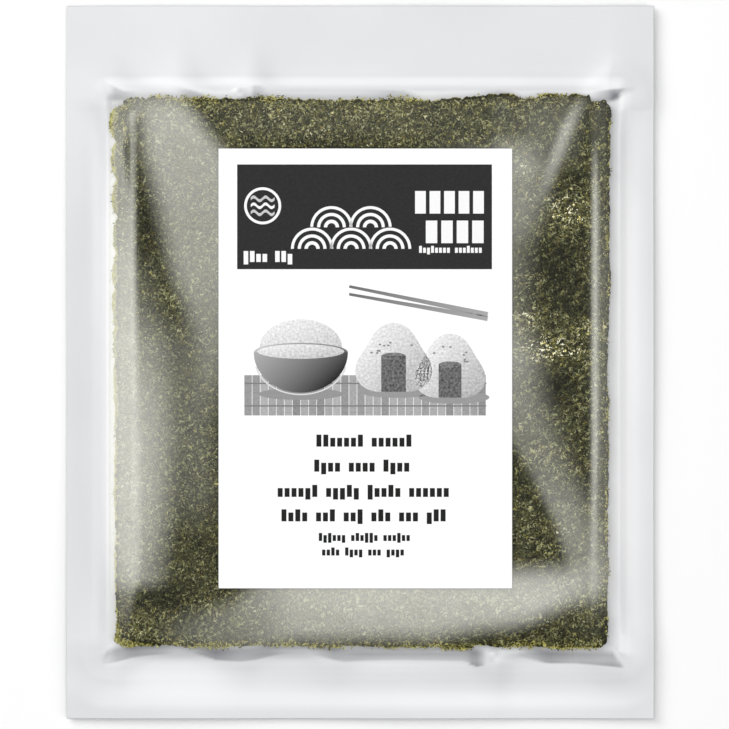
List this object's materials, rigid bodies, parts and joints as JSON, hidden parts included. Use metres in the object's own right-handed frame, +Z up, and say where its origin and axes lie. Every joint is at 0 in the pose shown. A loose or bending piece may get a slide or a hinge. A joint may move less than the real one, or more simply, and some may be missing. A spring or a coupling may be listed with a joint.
{
  "type": "sealed pack of dried seaweed sheets",
  "caption": "Flat sealed pouch with a clear front film over a neat stack of dried seaweed sheets, with a wide pale welded border and a white paper label.",
  "frame": {"origin": "middle of the pack's footprint, on the surface it lies on", "axes": "+Z up through the clear front, +Y along the longer side to the pack's top edge, +X to the right as the label is read"},
  "size_m": [0.22, 0.267, 0.0138],
  "materials": {
    "film": "clear glossy film with soft folds",
    "back_film": "opaque pale film with a soft sheen",
    "seaweed": "dry, fibrous and faintly glossy, dark olive green",
    "label": "smooth white coated paper with a greyscale print"
  },
  "bodies": {
    "root": {"pouch": "film", "label": "label"}
  },
  "joints": []
}
